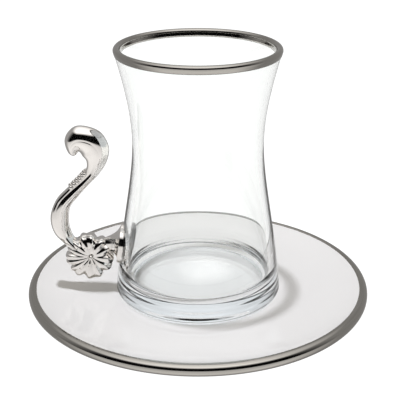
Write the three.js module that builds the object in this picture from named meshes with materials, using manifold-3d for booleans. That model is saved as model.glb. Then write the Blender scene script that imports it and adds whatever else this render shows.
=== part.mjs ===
// A waisted tea glass with a cast scroll handle, standing on its saucer.
// Millimetres, +Z up. The origin is the centre of the saucer's foot ring, on the table.
// The glass and saucer share the Z axis, and the handle points along -X.
import * as THREE from "three";
import { mergeVertices } from "three/addons/utils/BufferGeometryUtils.js";
import Module from "manifold-3d";

// Driving dimensions of the saucer
const SAUCER_RADIUS = 64.6; // to the outside of the rim bead
const SAUCER_BEAD = 2.1; // radius of the rounded rim
const SAUCER_RISE = 10.2; // height of the bead's centre
const SAUCER_BEAD_FROM = 115; // where the bead takes over from the upper face, in degrees
const SAUCER_BEAD_TO = -100; // where it runs into the underside
const WELL_RADIUS = 33; // flat floor that the glass stands on
const WELL_LEVEL = 8;
const FOOT_RING_RADIUS = 38; // outside of the foot ring
const FOOT_RING_WIDTH = 3.2;
const FOOT_RING_HEIGHT = 2.6;
const SAUCER_RECESS = 3.4; // height of the underside inside the foot ring

// Driving dimensions of the glass, heights above the table
const GLASS_TOP = 103.1;
const LIP_RADIUS = 29.8; // outside, where the lip's rounding starts
const LIP_ROUNDING = 1.1; // half the wall at the lip
const LIP_LEAN = 0.26; // outwards, per millimetre of height
const WAIST_RADIUS = 24;
const WAIST_LEVEL = 68;
const WAIST_WALL = 1.9;
const BASE_RADIUS = 31.3;
const BASE_EDGE = 2.6; // rounding under the base
const FLOOR_LEVEL = 14; // inside floor
const FLOOR_ROUNDING = 5.6; // inside corner of the floor
const FLOOR_WALL = 3; // wall where that corner starts
const PUNT_RADIUS = 25; // shallow hollow under the base
const PUNT_DEPTH = 0.2;

// Fired metal bands on the lip and on the saucer's rim
const LIP_BAND_OUTSIDE = 1.7; // below the lip's rounding
const LIP_BAND_INSIDE = 1.6;
const BAND_THICKNESS = 0.2;

// Driving dimensions of the handle
const GLUE_GAP = 0.3; // between the handle's pad and the glass
const PAD_RADIUS = 7.9;
const PAD_LEVEL = 27.3;
const PAD_EDGE = 0.9; // thickness of the pad's rim
const NECK_RADIUS = 2.8;
const NECK_LENGTH = 9;
const NECK_DROP = 3.4; // from the pad to the rosette
const PAD_LEAN = 7.5; // of the glass's wall behind the pad, in degrees
const WALL_AT_PAD = 29.1; // radius of that wall
const ROSETTE_X = -41.3;
const ROSETTE_LEVEL = 21.8;
const ROSETTE_RADIUS = 9.3;
const ROSETTE_DEPTH = 4; // half of its thickness
const ROSETTE_ROUNDING = 0.8; // 1 for a round section, less for a flatter face
const PETAL_TURNS = [-7, 50, 108, 170, 226, 264, 305]; // degrees clockwise from the top
const PETAL_NOTCH = 0.12; // between petals, share of the radius
const GROOVE_DEPTH = 0.1; // between petals, share of the depth
const BOSS_RADIUS = 1.5;
const BOSS_DEPTH = 4.3;
const BOSS_SHIFT = [0.65, 0.7]; // from the rosette's middle, towards the glass and up
const BEAD_ROWS = 3;
const BEADS_IN_ROW = 6;
const BEAD_RADIUS = 0.78;
const BEAD_ROW_ANGLE = 38; // between rows, round the stem
const BEAD_SPAN = [6.2, 7.5]; // along the stem, counted in stations

// The stem's stations from the rosette to the tip of the scroll: x and z of its outer edge,
// x and z of the edge that carries the beads, half its depth, and the share of the depth
// that the hollow beside the beads takes away
const STEM = [
  [-41.9, 23.1, -43.3, 21.5, 3.6, 0],
  [-44.3, 26.6, -47.1, 23.8, 3.4, 0],
  [-47.2, 30.2, -51, 27.4, 3.2, 0],
  [-48.5, 33.8, -54.3, 31.8, 3.2, 0],
  [-48.6, 37.5, -55.4, 38.1, 3.2, 0.02],
  [-47.9, 41.8, -53.1, 44.6, 3, 0.2],
  [-44.5, 46.4, -48.3, 49.8, 2.9, 0.26],
  [-40.4, 51.1, -43.8, 54.1, 2.9, 0.22],
  [-36.7, 55.1, -41.1, 57.7, 3.1, 0.16],
  [-33.7, 59.8, -41.1, 61, 3.6, 0.08],
  [-32.6, 65.4, -42.5, 62.6, 4, 0.04],
  [-35.8, 71.5, -43.1, 63.5, 4.2, 0.03],
  [-43.9, 73.7, -43.4, 63.9, 4.1, 0.03],
  [-47.3, 71.4, -43.6, 63.9, 3.9, 0.03],
  [-48.7, 68, -43.8, 63.8, 3.6, 0.02],
  [-47.3, 63.4, -44.2, 63.4, 2.8, 0.01],
  [-45.1, 62.3, -44.6, 62.8, 1.5, 0],
];
const HOLLOW_EDGE = 0.1; // across the stem, 1 at its outer edge and -1 at the beads
const HOLLOW_RAMP = 0.45; // how far across it takes to go down

// Fineness
const TURN_STEPS = 48;
const WALL_STEPS = 7; // along each half of the glass's wall
const STEM_SIDES = 18;
const STEM_STEPS = 44;
const ROSETTE_STEPS = 11; // from face to face
const PETAL_STEPS = 6;
const BEAD_SIDES = 7;
const NECK_SIDES = 24;

const wasm = await Module();
wasm.setup();

const radians = THREE.MathUtils.degToRad;
const at = (r, z) => new THREE.Vector2(r, z);

const line = (a, b) => [a, b];
const cubic = (a, b, c, d, steps) => new THREE.CubicBezierCurve(a, b, c, d).getPoints(steps);
const arc = (r, z, radius, from, to, steps) =>
  new THREE.EllipseCurve(r, z, radius, radius, radians(from), radians(to), to < from).getPoints(steps);

// One outline from stretches that follow each other, without repeated joints.
function outline(...stretches) {
  const points = stretches.flat();
  return points.filter((p, i) => i === 0 || p.distanceTo(points[i - 1]) > 1e-4);
}

// A solid of revolution about Z.
function turned(profile, steps = TURN_STEPS) {
  return new THREE.LatheGeometry(profile, steps).rotateX(Math.PI / 2);
}

// A thin coat on the left of an outline, feathered to nothing at both ends.
function coat(points, thickness) {
  const last = points.length - 1;
  const outside = points.map((p, i) => {
    if (i === 0 || i === last) return p;
    const along = points[i + 1].clone().sub(points[i - 1]).normalize();
    return at(p.x - along.y * thickness, p.y + along.x * thickness);
  });
  return outline(points, outside.reverse());
}

// A closed surface of u round and v from pole to pole, each point placed by a rule.
function placed(uSteps, vSteps, rule) {
  const geometry = new THREE.SphereGeometry(1, uSteps, vSteps);
  const uv = geometry.getAttribute("uv");
  const position = geometry.getAttribute("position");
  for (let i = 0; i < position.count; i++) {
    const p = rule(uv.getX(i) * 2 * Math.PI, 1 - uv.getY(i));
    position.setXYZ(i, p.x, p.y, p.z);
  }
  return geometry;
}

function solidOf(geometry) {
  const bare = geometry.clone();
  bare.deleteAttribute("normal");
  bare.deleteAttribute("uv");
  const merged = mergeVertices(bare, 1e-4);
  const mesh = new wasm.Mesh({
    numProp: 3,
    vertProperties: merged.getAttribute("position").array,
    triVerts: new Uint32Array(merged.index.array),
  });
  return new wasm.Manifold(mesh);
}

function geometryOf(solid) {
  const mesh = solid.getMesh();
  const geometry = new THREE.BufferGeometry();
  geometry.setAttribute("position", new THREE.BufferAttribute(mesh.vertProperties, mesh.numProp));
  geometry.setIndex(new THREE.BufferAttribute(mesh.triVerts, 1));
  geometry.computeVertexNormals();
  return geometry;
}

// Saucer
const beadCentre = SAUCER_RADIUS - SAUCER_BEAD;
const saucerBead = arc(beadCentre, SAUCER_RISE, SAUCER_BEAD, SAUCER_BEAD_FROM, SAUCER_BEAD_TO, 7);

function saucerProfile() {
  const beadStart = saucerBead[0];
  const beadEnd = saucerBead.at(-1);
  const slope = radians(SAUCER_BEAD_FROM - 90);
  const intoBead = at(beadStart.x - 7 * Math.cos(slope), beadStart.y - 7 * Math.sin(slope));
  const well = at(WELL_RADIUS, WELL_LEVEL);
  const upper = cubic(well, at(WELL_RADIUS + 13, WELL_LEVEL), intoBead, beadStart, 5);
  const ringTop = at(FOOT_RING_RADIUS + 0.5, FOOT_RING_HEIGHT);
  const outOfBead = at(beadEnd.x - 6, beadEnd.y - 0.7);
  const intoRing = at(ringTop.x + 8, ringTop.y + 0.9);
  const under = cubic(beadEnd, outOfBead, intoRing, ringTop, 4);
  const ringInside = FOOT_RING_RADIUS - FOOT_RING_WIDTH;
  const ring = [at(FOOT_RING_RADIUS, 0), at(ringInside, 0), at(ringInside - 1, FOOT_RING_HEIGHT)];
  const recess = [at(ringInside - 4, SAUCER_RECESS), at(0, SAUCER_RECESS)];
  return outline(line(at(0, WELL_LEVEL), well), upper, saucerBead, under, ring, recess).reverse();
}

// Glass
const lipLevel = GLASS_TOP - LIP_ROUNDING;
const lipInside = LIP_RADIUS - 2 * LIP_ROUNDING;

function outerWall(steps) {
  const waist = at(WAIST_RADIUS, WAIST_LEVEL);
  const base = at(BASE_RADIUS, WELL_LEVEL + BASE_EDGE);
  const foot = at(LIP_RADIUS - LIP_LEAN * LIP_BAND_OUTSIDE, lipLevel - LIP_BAND_OUTSIDE);
  const belly = cubic(base, at(BASE_RADIUS - 2, 33), at(WAIST_RADIUS, 54), waist, steps);
  const intoLip = at(foot.x - 9 * LIP_LEAN, foot.y - 9);
  const flare = cubic(waist, at(WAIST_RADIUS, 80), intoLip, foot, steps - 1);
  return outline(belly, flare);
}

function innerWall(steps) {
  const waist = at(WAIST_RADIUS - WAIST_WALL, WAIST_LEVEL);
  const corner = at(BASE_RADIUS - FLOOR_WALL - 1, FLOOR_LEVEL + FLOOR_ROUNDING);
  const foot = at(lipInside - LIP_LEAN * LIP_BAND_INSIDE, lipLevel - LIP_BAND_INSIDE);
  const outOfLip = at(foot.x - 9 * LIP_LEAN, foot.y - 9);
  const flare = cubic(foot, outOfLip, at(waist.x, 80), waist, steps - 1);
  const belly = cubic(waist, at(waist.x, 54), at(corner.x - 1.3, 35), corner, steps);
  return outline(flare, belly);
}

const outerLine = outerWall(WALL_STEPS);
const innerLine = innerWall(WALL_STEPS);
const lipLine = outline(
  [outerLine.at(-1)],
  arc(LIP_RADIUS - LIP_ROUNDING, lipLevel, LIP_ROUNDING, 0, 180, 6),
  [innerLine[0]],
);

function baseLine() {
  const ring = BASE_RADIUS - BASE_EDGE;
  const punt = [at(0, WELL_LEVEL + PUNT_DEPTH), at(PUNT_RADIUS / 2, WELL_LEVEL + PUNT_DEPTH * 0.8)];
  const edge = arc(ring, WELL_LEVEL + BASE_EDGE, BASE_EDGE, -90, 0, 3);
  return outline(punt, [at(PUNT_RADIUS, WELL_LEVEL)], edge);
}

function floorLine() {
  const corner = innerLine.at(-1);
  const round = arc(corner.x - FLOOR_ROUNDING, corner.y, FLOOR_ROUNDING, 0, -90, 4);
  return outline(round, [at(0, FLOOR_LEVEL)]);
}

const glassProfile = outline(baseLine(), outerLine, lipLine, innerLine, floorLine());

// Handle: one casting of stem, rosette, boss, neck, pad and beads
const stemOuter = new THREE.CatmullRomCurve3(STEM.map(([x, z]) => new THREE.Vector3(x, 0, z)));
const stemInner = new THREE.CatmullRomCurve3(STEM.map(([, , x, z]) => new THREE.Vector3(x, 0, z)));
const stemSize = new THREE.CatmullRomCurve3(
  STEM.map(([, , , , depth, hollow]) => new THREE.Vector3(depth, hollow, 0)),
);

// A point on the stem: round is 0 on the outer edge, share runs from the rosette to the tip.
function stemPoint(round, share) {
  const side = Math.cos(round);
  const ends = Math.sqrt(Math.min(1, 30 * share * (1 - share) + 0.02));
  const closed = share === 0 || share === 1 ? 0 : ends;
  const size = stemSize.getPoint(share);
  const down = THREE.MathUtils.clamp((HOLLOW_EDGE - side) / HOLLOW_RAMP, 0, 1);
  const depth = size.x * (1 - size.y * down);
  const p = stemInner.getPoint(share).lerp(stemOuter.getPoint(share), (1 + side * closed) / 2);
  p.y = -depth * Math.sin(round) * closed;
  return p;
}

function stem() {
  return placed(STEM_SIDES, STEM_STEPS, stemPoint);
}

// A point on the rosette: round is counted from the first petal, share from the back to the front.
function rosettePoint(round, share) {
  const petal = (round / (2 * Math.PI)) * PETAL_TURNS.length;
  const before = Math.floor(petal) % PETAL_TURNS.length;
  const after = before + 1 < PETAL_TURNS.length ? PETAL_TURNS[before + 1] : PETAL_TURNS[0] + 360;
  const turn = radians(THREE.MathUtils.lerp(PETAL_TURNS[before], after, petal % 1));
  const valley = Math.sin(Math.PI * petal) ** 2;
  const face = Math.PI * (share - 0.5);
  const reach = Math.max(Math.cos(face), 0) ** ROSETTE_ROUNDING;
  const radius = ROSETTE_RADIUS * reach * (1 - PETAL_NOTCH * valley ** 3);
  const dish = 1 - 0.4 * Math.exp(-((reach / 0.26) ** 2));
  const dome = ROSETTE_DEPTH * Math.abs(Math.sin(face)) ** ROSETTE_ROUNDING * dish;
  const depth = Math.sign(face) * dome * (1 - GROOVE_DEPTH * valley * reach);
  return new THREE.Vector3(
    ROSETTE_X + BOSS_SHIFT[0] * (1 - reach) + radius * Math.sin(turn),
    -depth,
    ROSETTE_LEVEL + BOSS_SHIFT[1] * (1 - reach) + radius * Math.cos(turn),
  );
}

function rosette() {
  return placed(PETAL_TURNS.length * PETAL_STEPS, ROSETTE_STEPS, rosettePoint);
}

function boss() {
  const ball = new THREE.SphereGeometry(1, 12, 8).scale(BOSS_RADIUS, BOSS_DEPTH, BOSS_RADIUS);
  return ball.translate(ROSETTE_X + BOSS_SHIFT[0], 0, ROSETTE_LEVEL + BOSS_SHIFT[1]);
}

// The trumpet from the pad to the neck, square to the wall and bent down towards the rosette.
function trumpet() {
  const padStart = -3; // inside the wall, to be trimmed to the glass
  const neckEnd = at(NECK_RADIUS, NECK_LENGTH);
  const flare = cubic(at(PAD_RADIUS, PAD_EDGE), at(3.8, 1.3), at(NECK_RADIUS, 3), neckEnd, 6);
  const profile = outline([at(0, padStart), at(PAD_RADIUS, padStart)], flare, [at(0, NECK_LENGTH)]);
  const geometry = new THREE.LatheGeometry(profile, NECK_SIDES);
  geometry.rotateZ(Math.PI / 2).rotateY(radians(PAD_LEAN));
  const position = geometry.getAttribute("position");
  for (let i = 0; i < position.count; i++) {
    const out = Math.max(0, -position.getX(i) - PAD_EDGE) / NECK_LENGTH;
    position.setZ(i, position.getZ(i) - NECK_DROP * out ** 1.3);
  }
  return geometry.translate(-WALL_AT_PAD, 0, PAD_LEVEL);
}

function beads() {
  const made = [];
  const [first, last] = BEAD_SPAN.map((station) => station / (STEM.length - 1));
  for (let row = 0; row < BEAD_ROWS; row++) {
    const round = Math.PI + radians(BEAD_ROW_ANGLE) * (row - (BEAD_ROWS - 1) / 2);
    for (let i = 0; i < BEADS_IN_ROW; i++) {
      const share = THREE.MathUtils.lerp(first, last, i / (BEADS_IN_ROW - 1));
      const p = stemPoint(round, share);
      const bead = new THREE.SphereGeometry(BEAD_RADIUS, BEAD_SIDES, BEAD_SIDES - 2);
      made.push(bead.translate(p.x, p.y, p.z));
    }
  }
  return made;
}

// The glass's outside, swelled by the glue gap, which the pad is fitted to.
function glueClearance() {
  const swelled = [...baseLine(), ...outerLine].map((p) => at(p.x > 0 ? p.x + GLUE_GAP : 0, p.y));
  return turned(outline(swelled, [at(0, swelled.at(-1).y)]));
}

function handle() {
  const pieces = [stem(), rosette(), boss(), trumpet(), ...beads()].map(solidOf);
  const casting = pieces.reduce((joined, piece) => joined.add(piece));
  return geometryOf(casting.subtract(solidOf(glueClearance())));
}

// Materials
const clearGlass = new THREE.MeshStandardMaterial({
  color: 0xf4f8fa,
  roughness: 0.02,
  transparent: true,
  opacity: 0.35,
});
const porcelain = new THREE.MeshStandardMaterial({ color: 0xf1efee, roughness: 0.12 });
const satinPlatinum = new THREE.MeshStandardMaterial({ color: 0x8d8a85, roughness: 0.35, metalness: 1 });
const polishedSilver = new THREE.MeshStandardMaterial({ color: 0xdedbd8, roughness: 0.08, metalness: 1 });

const setting = new THREE.Group();
function add(name, geometry, material) {
  const mesh = new THREE.Mesh(geometry, material);
  mesh.name = name;
  setting.add(mesh);
}
add("saucer", turned(saucerProfile()), porcelain);
add("saucer_band", turned(coat(saucerBead, BAND_THICKNESS)), satinPlatinum);
add("glass", turned(glassProfile), clearGlass);
add("lip_band", turned(coat(lipLine.toReversed(), BAND_THICKNESS)), satinPlatinum);
add("handle", handle(), polishedSilver);

export default setting;
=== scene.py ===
"""A waisted tea glass with a cast scroll handle on its saucer, finished and lit for the camera."""

import math

import bmesh
import bpy
import numpy as np
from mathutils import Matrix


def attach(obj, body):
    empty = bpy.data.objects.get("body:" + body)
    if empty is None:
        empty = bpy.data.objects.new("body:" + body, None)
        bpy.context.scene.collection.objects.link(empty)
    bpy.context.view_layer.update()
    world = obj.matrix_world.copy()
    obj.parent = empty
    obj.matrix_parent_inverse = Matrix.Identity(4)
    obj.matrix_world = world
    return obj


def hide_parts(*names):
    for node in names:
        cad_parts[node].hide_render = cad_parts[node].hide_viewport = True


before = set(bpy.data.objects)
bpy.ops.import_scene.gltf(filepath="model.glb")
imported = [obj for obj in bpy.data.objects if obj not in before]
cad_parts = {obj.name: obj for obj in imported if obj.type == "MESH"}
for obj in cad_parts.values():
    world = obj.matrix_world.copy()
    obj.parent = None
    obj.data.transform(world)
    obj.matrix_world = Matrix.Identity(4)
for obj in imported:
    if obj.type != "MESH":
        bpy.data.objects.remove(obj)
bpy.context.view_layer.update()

MM = 0.001

# Saucer, in millimetres
SAUCER_RADIUS = 64.6
SAUCER_BEAD = 2.1
SAUCER_RISE = 10.2
SAUCER_BEAD_FROM = 115
SAUCER_BEAD_TO = -100
WELL_RADIUS = 33
WELL_LEVEL = 8
FOOT_RING_RADIUS = 38
FOOT_RING_WIDTH = 3.2
FOOT_RING_HEIGHT = 2.6
FOOT_RING_ROUNDING = 0.6
SAUCER_RECESS = 3.4

# Glass
GLASS_TOP = 103.1
LIP_RADIUS = 29.8
LIP_ROUNDING = 1.1
LIP_LEAN = 0.26
WAIST_RADIUS = 24
WAIST_LEVEL = 68
WAIST_WALL = 1.9
BASE_RADIUS = 31.3
BASE_EDGE = 2.6
FLOOR_LEVEL = 14
FLOOR_ROUNDING = 5.6
FLOOR_WALL = 3
PUNT_RADIUS = 25
PUNT_DEPTH = 0.2
STANDING_GAP = 0.03  # the rough film of air under the glass
OUTER_BELLY_PULL = 33  # heights of the curve handles that shape the walls
INNER_BELLY_PULL = 35
BELOW_WAIST_PULL = 54
ABOVE_WAIST_PULL = 80
FLARE_PULL = 9  # down from the foot of the lip band
MOULD_RINGS = 0.14  # depth of the soft rings that the mould leaves round the foot
MOULD_RING_PITCH = 2.4
MOULD_RINGS_HEIGHT = 10

# Fired bands, sunk a little into what they are fired on, so that the lip's shows through the glass
LIP_BAND_OUTSIDE = 1.7
LIP_BAND_INSIDE = 1.6
BAND_THICKNESS = 0.18
BAND_SINK = 0.04

# Handle
GLUE_GAP = -0.02  # from the glass's outer face to where the glue starts, just inside it
PAD_RADIUS = 7.9
PAD_LEVEL = 27.3
PAD_EDGE = 0.9
PAD_ROUNDING = 0.25
PAD_STOCK = 3  # how far the pad's flat back lies inside the glass
PAD_LEAN = 7.5
NECK_RADIUS = 2.8
NECK_LENGTH = 9
NECK_DROP = 3.4
NECK_FLATTENING = 0.9  # of its depth, towards the petals it runs in behind
NECK_FLAT_FROM = 0.35  # of its length
WALL_AT_PAD = 29.1
ROSETTE_X = -41.3
ROSETTE_LEVEL = 21.8
ROSETTE_RADIUS = 9.3
ROSETTE_DEPTH = 4
ROSETTE_ROUNDING = 0.6
PETAL_TURNS = (-7, 50, 108, 170, 226, 264, 305)  # degrees clockwise from the top
PETAL_NOTCH = 0.12  # of the radius, between petals
GROOVE_DEPTH = 0.15  # of half a petal's width
CREST_SHIFT = 0.1  # of half a petal's width, upwards
CENTRE_DISH = 0.25  # of the depth, round the boss
BOSS_RADIUS = 1.5
BOSS_DEPTH = 4.3
BOSS_SHIFT = (0.65, 0.7)
BEAD_ROWS = 3
BEADS_IN_ROW = 6
BEAD_RADIUS = 0.85
BEAD_ROW_ANGLE = 38
BEAD_SPAN = (6.2, 7.5)

# Stem stations from the rosette to the tip of the scroll: x and z of its outer edge, x and z of its
# bead edge, half depth; then where across it, from 1 at the outer edge to -1, the bead channel starts,
# how far it takes to go down, and the share of the depth that it takes away
STEM = np.array([
    (-41.9, 23.1, -43.3, 21.5, 3.6, 0, 0.5, 0),
    (-44.3, 26.6, -47.1, 23.8, 3.4, 0, 0.5, 0),
    (-47.2, 30.2, -51, 27.4, 3.2, 0, 0.5, 0),
    (-48.5, 33.8, -54.3, 31.8, 3.2, 0, 0.5, 0),
    (-48.6, 37.5, -55.4, 38.1, 3.2, 0, 0.5, 0.02),
    (-47.9, 41.8, -53.1, 44.6, 3, 0.02, 0.5, 0.2),
    (-44.5, 46.4, -48.3, 49.8, 2.9, 0.08, 0.5, 0.26),
    (-40.4, 51.1, -43.8, 54.1, 2.9, 0.16, 0.42, 0.22),
    (-36.7, 55.1, -41.1, 57.7, 3.1, 0.16, 0.36, 0.16),
    (-33.7, 59.8, -41.1, 61, 3.6, 0.12, 0.36, 0.08),
    (-32.6, 65.4, -42.5, 62.6, 4, 0.05, 0.36, 0.04),
    (-35.8, 71.5, -43.1, 63.5, 4.2, -0.1, 0.36, 0.03),
    (-43.9, 73.7, -43.4, 63.9, 4.1, -0.2, 0.36, 0.03),
    (-47.3, 71.4, -43.6, 63.9, 3.9, -0.2, 0.36, 0.03),
    (-48.7, 68, -43.8, 63.8, 3.6, -0.2, 0.36, 0.02),
    (-47.3, 63.4, -44.2, 63.4, 2.8, -0.2, 0.36, 0.01),
    (-45.1, 62.3, -44.6, 62.8, 1.5, -0.2, 0.36, 0),
])

# Where along the stem, counted in stations, its ridged foot ends and its scroll starts
STEM_FOOT_END = 3.4
SCROLL_START = 8.5

# Fineness of the meshes
TURN_STEPS = 192
WALL_STEPS = 40
SAUCER_STEPS = 48
STEM_SIDES = 160
STEM_STEPS = 260
PETAL_STEPS = 40
ROSETTE_STEPS = 64
NECK_SIDES = 96
NECK_STEPS = 48
TURNED_EDGE = 50  # degrees between faces above which an edge stays sharp
CAST_EDGE = 38

# Camera, fitted to the ellipses of the lip and the saucer
CAMERA_BACK = 332.46
CAMERA_LEVEL = 180.52
CAMERA_TILT = 22.228  # degrees down
CAMERA_LENS = 86.4
CAMERA_SHIFT = 0.005

# Overhead key, far away and small, so that the handle's and the lip's shadows stay crisp
KEY_ELEVATION = 86.2
KEY_DISTANCE = 1600
KEY_SIZE = 85
KEY_POWER = 16.6
KEY_AIM = 50  # height above the table


# Outlines

def at(r, z):
    return np.array([[r, z]], dtype=float)


def cubic(a, b, c, d, steps):
    t = np.linspace(0, 1, steps + 1)[:, None]
    return (1 - t) ** 3 * a + 3 * (1 - t) ** 2 * t * b + 3 * (1 - t) * t ** 2 * c + t ** 3 * d


def arc(r, z, radius, start, end, steps):
    angle = np.radians(np.linspace(start, end, steps + 1))
    return np.stack([r + radius * np.cos(angle), z + radius * np.sin(angle)], axis=1)


def outline(*stretches):
    """One outline from stretches that follow each other, without repeated joints."""
    points = np.concatenate(stretches)
    step = np.linalg.norm(np.diff(points, axis=0), axis=1)
    return points[np.concatenate([[True], step > 1e-4])]


def moved_out(points, distance):
    """The outline moved to its left."""
    along = np.gradient(points, axis=0)
    along /= np.linalg.norm(along, axis=1)[:, None]
    return points + distance * np.stack([-along[:, 1], along[:, 0]], axis=1)


def coat(points):
    """A fired band over an outline: full in the middle, feathered out at both ends."""
    share = np.linspace(0, 1, len(points))
    swell = np.clip(np.minimum(share, 1 - share) * 30, 0, 1)[:, None]
    inside = moved_out(points, -BAND_SINK)
    outside = inside + (moved_out(points, BAND_THICKNESS) - inside) * swell
    return outline(inside, outside[::-1])


def saucer_bead():
    centre = SAUCER_RADIUS - SAUCER_BEAD
    return arc(centre, SAUCER_RISE, SAUCER_BEAD, SAUCER_BEAD_FROM, SAUCER_BEAD_TO, SAUCER_STEPS)


def saucer_profile():
    bead = saucer_bead()
    start, end = bead[:1], bead[-1:]
    slope = math.radians(SAUCER_BEAD_FROM - 90)
    into_bead = start - 7 * at(math.cos(slope), math.sin(slope))
    well = at(WELL_RADIUS, WELL_LEVEL)
    upper = cubic(well, well + at(13, 0), into_bead, start, SAUCER_STEPS)
    ring_top = at(FOOT_RING_RADIUS + 0.5, FOOT_RING_HEIGHT)
    under = cubic(end, end - at(6, 0.7), ring_top + at(8, 0.9), ring_top, 32)
    inside = FOOT_RING_RADIUS - FOOT_RING_WIDTH
    ring = outline(
        arc(FOOT_RING_RADIUS - 0.5, FOOT_RING_ROUNDING, FOOT_RING_ROUNDING, 0, -90, 8),
        arc(inside + 0.5, FOOT_RING_ROUNDING, FOOT_RING_ROUNDING, -90, -180, 8),
        at(inside - 1, FOOT_RING_HEIGHT),
    )
    recess = cubic(at(inside - 1, FOOT_RING_HEIGHT), at(inside - 2, SAUCER_RECESS),
                   at(inside - 4, SAUCER_RECESS), at(inside - 8, SAUCER_RECESS), 8)
    return outline(at(0, WELL_LEVEL), at(WELL_RADIUS / 2, WELL_LEVEL), upper, bead, under, ring, recess,
                   at(0, SAUCER_RECESS))


LIP_LEVEL = GLASS_TOP - LIP_ROUNDING
LIP_INSIDE = LIP_RADIUS - 2 * LIP_ROUNDING


def outer_wall():
    waist = at(WAIST_RADIUS, WAIST_LEVEL)
    base = at(BASE_RADIUS, WELL_LEVEL + BASE_EDGE)
    band_foot = at(LIP_RADIUS - LIP_LEAN * LIP_BAND_OUTSIDE, LIP_LEVEL - LIP_BAND_OUTSIDE)
    belly = cubic(base, at(BASE_RADIUS - 2, OUTER_BELLY_PULL), at(WAIST_RADIUS, BELOW_WAIST_PULL), waist,
                  4 * WALL_STEPS)
    rise = belly[:, 1] - base[0, 1]
    fade = np.clip(1 - rise / MOULD_RINGS_HEIGHT, 0, 1)
    belly[:, 0] -= MOULD_RINGS * fade * np.sin(math.pi * rise / MOULD_RING_PITCH) ** 2
    into_lip = band_foot - FLARE_PULL * at(LIP_LEAN, 1)
    flare = cubic(waist, at(WAIST_RADIUS, ABOVE_WAIST_PULL), into_lip, band_foot, WALL_STEPS)
    return outline(belly, flare)


def inner_wall():
    waist = at(WAIST_RADIUS - WAIST_WALL, WAIST_LEVEL)
    corner = at(BASE_RADIUS - FLOOR_WALL - 1, FLOOR_LEVEL + FLOOR_ROUNDING)
    band_foot = at(LIP_INSIDE - LIP_LEAN * LIP_BAND_INSIDE, LIP_LEVEL - LIP_BAND_INSIDE)
    from_lip = band_foot - FLARE_PULL * at(LIP_LEAN, 1)
    flare = cubic(band_foot, from_lip, at(waist[0, 0], ABOVE_WAIST_PULL), waist, WALL_STEPS)
    belly = cubic(waist, at(waist[0, 0], BELOW_WAIST_PULL), at(corner[0, 0] - 1.3, INNER_BELLY_PULL), corner,
                  WALL_STEPS)
    return outline(flare, belly)


def lip_line():
    outer_foot = outer_wall()[-1:]
    inner_foot = inner_wall()[:1]
    over = arc(LIP_RADIUS - LIP_ROUNDING, LIP_LEVEL, LIP_ROUNDING, -12, 180, 32)
    rise = np.linspace(outer_foot[0], over[0], 9)
    drop = np.linspace(over[-1], inner_foot[0], 9)
    return outline(rise, over, drop)


def base_line():
    ring = BASE_RADIUS - BASE_EDGE
    low = WELL_LEVEL + STANDING_GAP
    punt = cubic(at(0, low + PUNT_DEPTH), at(PUNT_RADIUS * 0.6, low + PUNT_DEPTH),
                 at(PUNT_RADIUS * 0.8, low), at(PUNT_RADIUS, low), 24)
    edge = arc(ring, low + BASE_EDGE, BASE_EDGE, -90, 0, 16)
    return outline(punt, edge)


def glass_profile():
    inner = inner_wall()
    corner = inner[-1]
    round_corner = arc(corner[0] - FLOOR_ROUNDING, corner[1], FLOOR_ROUNDING, 0, -90, 20)
    floor = outline(round_corner, at(FLOOR_ROUNDING, FLOOR_LEVEL), at(0, FLOOR_LEVEL))
    return outline(base_line(), outer_wall(), lip_line(), inner, floor)


# Meshes

def mesh_object(name, points, faces, smooth_angle=None):
    mesh = bpy.data.meshes.new(name)
    mesh.from_pydata((np.asarray(points) * MM).tolist(), [], faces)
    tidy = bmesh.new()
    tidy.from_mesh(mesh)
    bmesh.ops.remove_doubles(tidy, verts=tidy.verts, dist=1e-7)
    bmesh.ops.recalc_face_normals(tidy, faces=tidy.faces)
    tidy.to_mesh(mesh)
    tidy.free()
    mesh.shade_smooth()
    if smooth_angle:
        mesh.set_sharp_from_angle(angle=math.radians(smooth_angle))
    piece = bpy.data.objects.new(name, mesh)
    bpy.context.collection.objects.link(piece)
    return piece


def grid_faces(rows, columns):
    """Quads of a grid that closes on itself from its last column to its first."""
    faces = []
    for row in range(rows - 1):
        for column in range(columns):
            after = (column + 1) % columns
            faces.append((row * columns + column, row * columns + after,
                          (row + 1) * columns + after, (row + 1) * columns + column))
    return faces


def turned(name, profile, steps=TURN_STEPS, smooth_angle=None):
    """A solid of revolution about Z. Points on the axis close it; a ring profile closes on itself."""
    if profile[0, 0] > 1e-6:
        profile = np.concatenate([profile, profile[:1]])
    angle = np.linspace(0, 2 * math.pi, steps, endpoint=False)
    r, z = profile[:, :1], profile[:, 1:]
    points = np.stack([r * np.cos(angle), r * np.sin(angle), np.repeat(z, steps, axis=1)], axis=2)
    return mesh_object(name, points.reshape(-1, 3), grid_faces(len(profile), steps), smooth_angle)


def placed(name, u_steps, v_steps, rule):
    """A closed surface of u round and v from pole to pole, each point placed by a rule."""
    u = np.linspace(0, 2 * math.pi, u_steps, endpoint=False)
    v = np.linspace(0, 1, v_steps + 1)
    points = rule(*np.meshgrid(u, v))
    return mesh_object(name, points.reshape(-1, 3), grid_faces(v_steps + 1, u_steps))


# Handle

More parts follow.
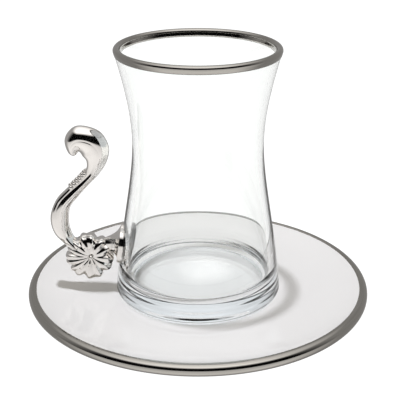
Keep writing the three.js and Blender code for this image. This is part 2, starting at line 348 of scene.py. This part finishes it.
def through_stations(columns, share):
    """A smooth centripetal curve through the stem's stations, at shares of its run."""
    stations = STEM[:, columns]
    first = 2 * stations[:1] - stations[1:2]
    last = 2 * stations[-1:] - stations[-2:-1]
    padded = np.concatenate([first, stations, last])
    place = np.clip(share, 0, 1) * (len(stations) - 1)
    index = np.minimum(place.astype(int), len(stations) - 2)
    t = (place - index)[..., None]
    p0, p1, p2, p3 = (padded[index + i] for i in range(4))
    spans = ((p0, p1), (p1, p2), (p2, p3))
    chords = [np.linalg.norm(b - a, axis=-1, keepdims=True) ** 0.5 for a, b in spans]
    c0, c1, c2 = (np.where(c < 1e-2, 1, c) for c in chords)
    leave = c1 * ((p1 - p0) / c0 - (p2 - p0) / (c0 + c1) + (p2 - p1) / c1)
    reach = c1 * ((p2 - p1) / c1 - (p3 - p1) / (c1 + c2) + (p3 - p2) / c2)
    return (p1 + leave * t + (3 * (p2 - p1) - 2 * leave - reach) * t ** 2
            + (2 * (p1 - p2) + leave + reach) * t ** 3)


def bump(value, centre, width):
    return np.exp(-((value - centre) / width) ** 2)


def stem_point(around, share):
    """Round the stem from its outer edge and along it, with the bead channel and a crease beside it."""
    outer = through_stations([0, 1], share)
    inner = through_stations([2, 3], share)
    depth, edge, ramp, drop = np.moveaxis(through_stations([4, 5, 6, 7], share), -1, 0)
    side = np.cos(around)
    ends = np.sqrt(np.minimum(1, 30 * share * (1 - share) + 0.02))
    ends = np.where((share <= 0) | (share >= 1), 0, ends)
    drop = np.maximum(drop, 0)
    channel = 1 - drop * np.clip((edge - side) / ramp, 0, 1)
    station = share * (len(STEM) - 1)
    foot = np.clip((STEM_FOOT_END - station) / 1.2, 0, 1)
    scroll = np.clip((station - SCROLL_START) / 2, 0, 1)
    crease = 1 - (0.22 * drop + 0.012 * scroll) * bump(side, edge + 0.25, 0.06)
    power = np.where(side > 0, 2 - 0.7 * foot - 0.15 * scroll, 2 + 1.6 * (1 - foot) * (1 - scroll))
    section = np.sign(np.sin(around)) * np.maximum(1 - np.abs(side) ** power, 0) ** (1 / power)
    across = (outer + inner) / 2 + (outer - inner) / 2 * (side * ends)[..., None]
    y = -depth * section * channel * crease * ends
    return np.stack([across[..., 0], y, across[..., 1]], axis=-1)


def rosette_point(around, share):
    """Petals at their own turns, each ridged between two grooves, on a shallow dome with a dished centre."""
    count = len(PETAL_TURNS)
    petal = around / (2 * math.pi) * count
    turns = np.array([*PETAL_TURNS, PETAL_TURNS[0] + 360])
    turn = np.radians(np.interp(petal, np.arange(count + 1), turns))
    gaps = np.diff(turns) / 2
    spread = np.stack([(gaps + np.roll(gaps, 1)) / 2, gaps], axis=1).ravel()
    half = np.radians(np.interp(petal, np.arange(2 * count + 1) / 2, [*spread, spread[0]]))
    valley = np.sin(math.pi * petal) ** 2
    across = 2 * petal % 1
    crest = 0.5 - CREST_SHIFT * np.sin(turn)
    slope = 1 - np.clip(np.minimum(across / crest, (1 - across) / (1 - crest)) / 0.8, 0, 1)
    face = math.pi * (share - 0.5)
    reach = np.maximum(np.cos(face), 0) ** ROSETTE_ROUNDING
    radius = ROSETTE_RADIUS * reach * (1 - PETAL_NOTCH * valley ** 4 - 0.03 * slope)
    dome = ROSETTE_DEPTH * np.abs(np.sin(face)) ** ROSETTE_ROUNDING
    dome *= 1 - CENTRE_DISH * bump(reach, 0, 0.26)
    groove = GROOVE_DEPTH * half * radius * slope
    depth = np.sign(face) * np.maximum(dome - groove, 0.45 * dome)
    x = ROSETTE_X + BOSS_SHIFT[0] * (1 - reach) + radius * np.sin(turn)
    z = ROSETTE_LEVEL + BOSS_SHIFT[1] * (1 - reach) + radius * np.cos(turn)
    return np.stack([x, -depth, z], axis=-1)


def ball(name, centre, radii, sides):
    def rule(around, share):
        fall = math.pi * share
        ring = np.sin(fall)
        unit = np.stack([ring * np.cos(around), ring * np.sin(around), np.cos(fall)], axis=-1)
        return centre + unit * radii
    return placed(name, sides, sides * 2 // 3, rule)


def trumpet(cutter):
    """From the pad to the neck, square to the wall, bent down towards the rosette, parted at the glass."""
    flare = cubic(at(PAD_RADIUS, PAD_EDGE), at(3.8, 1.3), at(NECK_RADIUS, 3), at(NECK_RADIUS, NECK_LENGTH),
                  NECK_STEPS)
    rim = arc(PAD_RADIUS - PAD_ROUNDING, PAD_EDGE - PAD_ROUNDING, PAD_ROUNDING, 0, 60, 6)
    profile = outline(at(0, -PAD_STOCK), at(PAD_RADIUS, -PAD_STOCK), rim, flare[1:], at(0, NECK_LENGTH))
    piece = turned("trumpet", profile, NECK_SIDES)
    coords = np.empty(len(piece.data.vertices) * 3)
    piece.data.vertices.foreach_get("co", coords)
    radial_y, radial_z, out = (coords.reshape(-1, 3) / MM).T
    radial_y *= 1 - NECK_FLATTENING * np.clip(out / NECK_LENGTH - NECK_FLAT_FROM, 0, 1)
    lean = math.radians(PAD_LEAN)
    x = radial_z * math.sin(lean) - out * math.cos(lean)
    z = out * math.sin(lean) + radial_z * math.cos(lean)
    z -= NECK_DROP * (np.maximum(0, -x - PAD_EDGE) / NECK_LENGTH) ** 1.3
    moved = np.stack([x - WALL_AT_PAD, -radial_y, z + PAD_LEVEL], axis=1) * MM
    piece.data.vertices.foreach_set("co", moved.ravel())
    # The difference only splits the pad's faces where they enter the glass, and leaves the stock behind them
    parting = piece.modifiers.new("parting", "BOOLEAN")
    parting.operation = "DIFFERENCE"
    parting.object = cutter
    parting.solver = "EXACT"
    return piece


def beads():
    made = []
    first, last = (station / (len(STEM) - 1) for station in BEAD_SPAN)
    for row in range(BEAD_ROWS):
        around = math.pi + math.radians(BEAD_ROW_ANGLE) * (row - (BEAD_ROWS - 1) / 2)
        for i in range(BEADS_IN_ROW):
            share = first + (last - first) * i / (BEADS_IN_ROW - 1)
            centre = stem_point(np.array([[around]]), np.array([[share]]))[0, 0]
            made.append(ball("bead", centre, BEAD_RADIUS, 24))
    return made


def glue_clearance():
    """The outside of the glass, moved by the glue's gap."""
    outside = outline(base_line(), outer_wall())
    outside[:, 0] += np.where(outside[:, 0] > 0, GLUE_GAP, 0)
    return turned("clearance", outline(outside, at(0, outside[-1, 1])))


def joined(name, pieces, cutter):
    """One closed casting of the pieces."""
    whole = pieces[0]
    group = bpy.data.collections.new("casting pieces")
    for piece in pieces[1:]:
        group.objects.link(piece)
    fuse = whole.modifiers.new("fuse", "BOOLEAN")
    fuse.operation = "UNION"
    fuse.operand_type = "COLLECTION"
    fuse.collection = group
    fuse.solver = "EXACT"
    fuse.use_self = True
    mesh = bpy.data.meshes.new_from_object(whole.evaluated_get(bpy.context.evaluated_depsgraph_get()))
    for piece in [*pieces, cutter]:
        bpy.data.objects.remove(piece)
    bpy.data.collections.remove(group)
    mesh.name = name
    mesh.shade_smooth()
    mesh.set_sharp_from_angle(angle=math.radians(CAST_EDGE))
    casting = bpy.data.objects.new(name, mesh)
    bpy.context.collection.objects.link(casting)
    return casting


def handle():
    rosette = placed("rosette", len(PETAL_TURNS) * PETAL_STEPS, ROSETTE_STEPS, rosette_point)
    stem = placed("stem", STEM_SIDES, STEM_STEPS, stem_point)
    centre = np.array([ROSETTE_X + BOSS_SHIFT[0], 0, ROSETTE_LEVEL + BOSS_SHIFT[1]])
    boss = ball("boss", centre, np.array([BOSS_RADIUS, BOSS_DEPTH, BOSS_RADIUS]), 48)
    cutter = glue_clearance()
    return joined("scroll_handle", [stem, rosette, boss, trumpet(cutter), *beads()], cutter)


def glued_faces(piece):
    """Marks the pad's inward faces, at the glass and inside it, with the second material."""
    wall = outer_wall()
    for face in piece.data.polygons:
        x, y, z = face.center / MM
        gap = math.hypot(x, y) - np.interp(z, wall[:, 1], wall[:, 0])
        face.material_index = int(gap < GLUE_GAP + 0.03 and face.normal.x * x + face.normal.y * y < 0)


# Finishes

def linear(hex_colour):
    """Linear RGBA from an sRGB hex colour."""
    channels = [int(hex_colour[i:i + 2], 16) / 255 for i in (1, 3, 5)]
    return [c / 12.92 if c <= 0.04045 else ((c + 0.055) / 1.055) ** 2.4 for c in channels] + [1]


def add(tree, kind, settings=None, links=None):
    """Adds a node, sets its inputs or properties, and links sockets to its inputs."""
    node = tree.nodes.new(kind)
    for name, value in (settings or {}).items():
        if isinstance(name, int) or name in node.inputs:
            node.inputs[name].default_value = value
        else:
            setattr(node, name, value)
    for name, socket in (links or {}).items():
        tree.links.new(socket, node.inputs[name])
    return node


def finish(name):
    material = bpy.data.materials.new(name)
    material.use_nodes = True
    material.node_tree.nodes.clear()
    return material, material.node_tree


def per_mm(size):
    """Texture scale for a pattern of that size in millimetres."""
    return 1 / (size * MM)


def glazed_porcelain():
    # Glazed hard porcelain: a bright even white under a clear glaze that pools and ripples very slightly.
    material, tree = finish("glazed_porcelain")
    place = add(tree, "ShaderNodeTexCoord").outputs["Object"]
    pooling = add(tree, "ShaderNodeTexNoise", {"Scale": per_mm(28), "Detail": 3}, {"Vector": place})
    tone = add(tree, "ShaderNodeMix", {"data_type": "RGBA", "A": linear("#f4f2f1"), "B": linear("#efedec")},
               {"Factor": pooling.outputs["Fac"]})
    ripple = add(tree, "ShaderNodeTexNoise", {"Scale": per_mm(9), "Detail": 1}, {"Vector": place})
    glaze = add(tree, "ShaderNodeBump", {"Strength": 0.25, "Distance": 0.04 * MM},
                {"Height": ripple.outputs["Fac"]})
    body = add(tree, "ShaderNodeBsdfPrincipled", {"Roughness": 0.1, "IOR": 1.5},
               {"Base Color": tone.outputs["Result"], "Normal": glaze.outputs["Normal"]})
    add(tree, "ShaderNodeOutputMaterial", links={"Surface": body.outputs["BSDF"]})
    return material


def platinum_lustre():
    # Fired platinum lustre, brushed on while the ware turns: a soft grey mirror with fine streaks round it.
    material, tree = finish("platinum_lustre")
    place = add(tree, "ShaderNodeTexCoord").outputs["Object"]
    split = add(tree, "ShaderNodeSeparateXYZ", links={"Vector": place})
    turn = add(tree, "ShaderNodeMath", {"operation": "ARCTAN2"},
               {0: split.outputs["Y"], 1: split.outputs["X"]})
    height = add(tree, "ShaderNodeMath", {"operation": "MULTIPLY", 1: per_mm(0.5)}, {0: split.outputs["Z"]})
    wrapped = add(tree, "ShaderNodeCombineXYZ",
                  links={"X": turn.outputs["Value"], "Y": height.outputs["Value"]})
    streaks = add(tree, "ShaderNodeTexNoise", {"Scale": 3, "Detail": 4},
                  {"Vector": wrapped.outputs["Vector"]})
    tone = add(tree, "ShaderNodeMix", {"data_type": "RGBA", "A": linear("#c2bfb9"), "B": linear("#a3a09a")},
               {"Factor": streaks.outputs["Fac"]})
    shine = add(tree, "ShaderNodeMapRange", {"To Min": 0.07, "To Max": 0.15},
                {"Value": streaks.outputs["Fac"]})
    film = add(tree, "ShaderNodeBsdfPrincipled", {"Metallic": 1},
               {"Base Color": tone.outputs["Result"], "Roughness": shine.outputs["Result"]})
    add(tree, "ShaderNodeOutputMaterial", links={"Surface": film.outputs["BSDF"]})
    return material


def silver_plate():
    # Silver plate on a buffed zinc casting: a near-white mirror, softened by buffing, with painted shade
    # that darkens its colour in recesses.
    material, tree = finish("silver_plate")
    place = add(tree, "ShaderNodeTexCoord").outputs["Object"]
    buffing = add(tree, "ShaderNodeTexNoise", {"Scale": per_mm(3), "Detail": 3}, {"Vector": place})
    shine = add(tree, "ShaderNodeMapRange", {"To Min": 0.05, "To Max": 0.11},
                {"Value": buffing.outputs["Fac"]})
    # Painted shade: the colour turns a darker grey wherever ambient occlusion finds a recess.
    recess = add(tree, "ShaderNodeAmbientOcclusion", {"Distance": 0.8 * MM, "samples": 8})
    tone = add(tree, "ShaderNodeMix", {"data_type": "RGBA", "A": linear("#c4c0bb"), "B": linear("#eeebe7")},
               {"Factor": recess.outputs["AO"]})
    waves = add(tree, "ShaderNodeBump", {"Strength": 0.05, "Distance": 0.02 * MM},
                {"Height": buffing.outputs["Fac"]})
    plate = add(tree, "ShaderNodeBsdfPrincipled", {"Metallic": 1},
                {"Base Color": tone.outputs["Result"], "Roughness": shine.outputs["Result"],
                 "Normal": waves.outputs["Normal"]})
    add(tree, "ShaderNodeOutputMaterial", links={"Surface": plate.outputs["BSDF"]})
    return material


def glue_painted_as_shade():
    # Cured clear glue on the pad's unplated back, coloured a dull dark grey as painted shade for the shaded
    # back seen through the glass.
    material, tree = finish("glue_painted_as_shade")
    place = add(tree, "ShaderNodeTexCoord").outputs["Object"]
    smear = add(tree, "ShaderNodeTexNoise", {"Scale": per_mm(2.5), "Detail": 3}, {"Vector": place})
    # Painted shade: dark greys that stand for the shade on the pad's back behind the glass.
    tone = add(tree, "ShaderNodeMix", {"data_type": "RGBA", "A": linear("#1e1e1d"), "B": linear("#626260")},
               {"Factor": smear.outputs["Fac"]})
    back = add(tree, "ShaderNodeBsdfPrincipled", {"Roughness": 0.45},
               {"Base Color": tone.outputs["Result"]})
    add(tree, "ShaderNodeOutputMaterial", links={"Surface": back.outputs["BSDF"]})
    return material


def clear_glass():
    # Clear soda-lime glass, pressed and fire-polished: colourless, with faint soft waves left by the mould.
    material, tree = finish("clear_glass")
    place = add(tree, "ShaderNodeTexCoord").outputs["Object"]
    waves = add(tree, "ShaderNodeTexNoise", {"Scale": per_mm(22), "Detail": 1}, {"Vector": place})
    polish = add(tree, "ShaderNodeBump", {"Strength": 0.3, "Distance": 0.05 * MM},
                 {"Height": waves.outputs["Fac"]})
    wall = add(tree, "ShaderNodeBsdfPrincipled",
               {"Base Color": linear("#fdfefd"), "Roughness": 0, "IOR": 1.52, "Transmission Weight": 1},
               {"Normal": polish.outputs["Normal"]})
    add(tree, "ShaderNodeOutputMaterial", links={"Surface": wall.outputs["BSDF"]})
    return material


# Pieces

def dress(piece, node, slot, *materials):
    for material in materials:
        piece.data.materials.append(material)
    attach(piece, "root")
    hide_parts(node)


lustre = platinum_lustre()
dress(turned("porcelain_saucer", saucer_profile(), smooth_angle=TURNED_EDGE),
      "saucer", "porcelain", glazed_porcelain())
dress(turned("saucer_rim_lustre", coat(saucer_bead()), smooth_angle=TURNED_EDGE),
      "saucer_band", "band_metal", lustre)
waisted_glass = turned("waisted_glass", glass_profile(), smooth_angle=TURNED_EDGE)
waisted_glass.visible_shadow = False
dress(waisted_glass, "glass", "clear_glass", clear_glass())
dress(turned("lip_lustre", coat(lip_line()[::-1]), smooth_angle=TURNED_EDGE),
      "lip_band", "band_metal", lustre)
scroll_handle = handle()
dress(scroll_handle, "handle", "plated_casting", silver_plate(), glue_painted_as_shade())
glued_faces(scroll_handle)


# Stage, lights and camera

def floor():
    mesh = bpy.data.meshes.new("floor")
    half = 3
    corners = [(-half, -half, 0), (half, -half, 0), (half, half, 0), (-half, half, 0)]
    mesh.from_pydata(corners, [], [(0, 1, 2, 3)])
    ground = bpy.data.objects.new("floor", mesh)
    bpy.context.collection.objects.link(ground)
    material, tree = finish("white_sweep")
    sheet = add(tree, "ShaderNodeBsdfPrincipled",
                {"Base Color": linear("#6a6a6a"), "Roughness": 0.9, "Emission Color": linear("#ffffff"),
                 "Emission Strength": 0.95})
    add(tree, "ShaderNodeOutputMaterial", links={"Surface": sheet.outputs["BSDF"]})
    mesh.materials.append(material)
    ground.visible_glossy = False


def overhead_key():
    """A soft square light from above and a little to the left, not seen in the glass or the metal."""
    lamp = bpy.data.lights.new("overhead key", "AREA")
    lamp.size = KEY_SIZE * MM
    lamp.energy = KEY_POWER
    lamp.color = (0.96, 0.983, 1.04)  # a little cool against the warm fill, so lit porcelain stays white
    unit = bpy.data.objects.new("overhead key", lamp)
    rise = math.radians(KEY_ELEVATION)
    unit.location = (-KEY_DISTANCE * MM * math.cos(rise), 0, (KEY_AIM + KEY_DISTANCE * math.sin(rise)) * MM)
    unit.rotation_euler = (math.pi / 2 - rise, 0, math.radians(270))
    unit.visible_glossy = False
    unit.visible_transmission = False
    unit.visible_camera = False
    bpy.context.collection.objects.link(unit)


def gathered_light():
    """The bright patch on the saucer where the glass's heavy floor gathers the light."""
    lamp = bpy.data.lights.new("gathered light", "SPOT")
    lamp.energy = 0.5
    lamp.spot_size = math.radians(4.6)
    lamp.spot_blend = 1
    unit = bpy.data.objects.new("gathered light", lamp)
    unit.location = (0.003, 0.008, 0.35)
    bpy.context.collection.objects.link(unit)


def white_room():
    """Metal mirrors a pale table, a dark front, a bright ceiling and a grey far side. Glass shows a bright
    field that dims to the sides and upwards. Dull surfaces get an even, slightly warm fill."""
    world = bpy.data.worlds.new("white room")
    bpy.context.scene.world = world
    world.use_nodes = True
    tree = world.node_tree
    tree.nodes.clear()
    way = add(tree, "ShaderNodeTexCoord").outputs["Generated"]
    split = add(tree, "ShaderNodeSeparateXYZ", links={"Vector": way})
    x, y, z = (split.outputs[axis] for axis in "XYZ")
    table = add(tree, "ShaderNodeMapRange",
                {"From Min": -0.7, "From Max": 0, "To Min": 1.05, "To Max": 0.74}, {"Value": z})
    below = add(tree, "ShaderNodeMapRange",
                {"From Min": -0.02, "From Max": 0.05, "To Min": 1, "To Max": 0}, {"Value": z})
    ceiling = add(tree, "ShaderNodeMapRange",
                  {"From Min": 0.66, "From Max": 0.86, "To Min": 0, "To Max": 1.7}, {"Value": z})
    front = add(tree, "ShaderNodeMath", {"operation": "MULTIPLY_ADD"},
                {0: table.outputs["Result"], 1: below.outputs["Result"], 2: ceiling.outputs["Result"]})
    far_side = add(tree, "ShaderNodeMapRange",
                   {"From Min": 0.6, "From Max": 1, "To Min": 0.36, "To Max": 1.3}, {"Value": z})
    turn = add(tree, "ShaderNodeMapRange", {"From Min": -0.4, "From Max": 0.15}, {"Value": y})
    seen = add(tree, "ShaderNodeMix", {},
               {"Factor": turn.outputs["Result"], "A": front.outputs["Value"],
                "B": far_side.outputs["Result"]})
    mirrored = add(tree, "ShaderNodeBackground", {"Color": linear("#fffdfc")},
                   {"Strength": seen.outputs["Result"]})
    fill = add(tree, "ShaderNodeBackground", {"Color": linear("#fffbf1"), "Strength": 0.4})
    aside = add(tree, "ShaderNodeMath", {"operation": "ABSOLUTE"}, {0: x})
    dimmed = add(tree, "ShaderNodeMapRange",
                 {"From Min": 0.15, "From Max": 0.9, "To Min": 1, "To Max": 0.74},
                 {"Value": aside.outputs["Value"]})
    higher = add(tree, "ShaderNodeMapRange",
                 {"From Min": 0.3, "From Max": 0.9, "To Min": 1.15, "To Max": 0.5}, {"Value": z})
    glow = add(tree, "ShaderNodeMath", {"operation": "MULTIPLY"},
               {0: dimmed.outputs["Result"], 1: higher.outputs["Result"]})
    through = add(tree, "ShaderNodeBackground", {"Color": linear("#f2f7fc")},
                  {"Strength": glow.outputs["Value"]})
    ray = add(tree, "ShaderNodeLightPath")
    polish = add(tree, "ShaderNodeMapRange", {"From Max": 1, "To Min": 1, "To Max": 0.15},
                 {"Value": ray.outputs["Transmission Depth"]})
    share = add(tree, "ShaderNodeMath", {"operation": "MINIMUM"},
                {0: ray.outputs["Glossy Depth"], 1: polish.outputs["Result"]})
    clear = add(tree, "ShaderNodeMixShader", {},
                {0: share.outputs["Value"], 1: through.outputs["Background"],
                 2: mirrored.outputs["Background"]})
    room = add(tree, "ShaderNodeMixShader", {},
               {0: ray.outputs["Diffuse Depth"], 1: clear.outputs["Shader"], 2: fill.outputs["Background"]})
    add(tree, "ShaderNodeOutputWorld", links={"Surface": room.outputs["Shader"]})


def camera():
    lens = bpy.data.cameras.new("camera")
    lens.sensor_width = 36
    lens.lens = CAMERA_LENS
    lens.shift_x = CAMERA_SHIFT
    lens.clip_start = 0.01
    view = bpy.data.objects.new("camera", lens)
    view.location = (0, -CAMERA_BACK * MM, CAMERA_LEVEL * MM)
    view.rotation_euler = (math.radians(90 - CAMERA_TILT), 0, 0)
    bpy.context.collection.objects.link(view)
    bpy.context.scene.camera = view


floor()
white_room()
overhead_key()
gathered_light()
camera()
bpy.context.scene.view_settings.view_transform = "Standard"
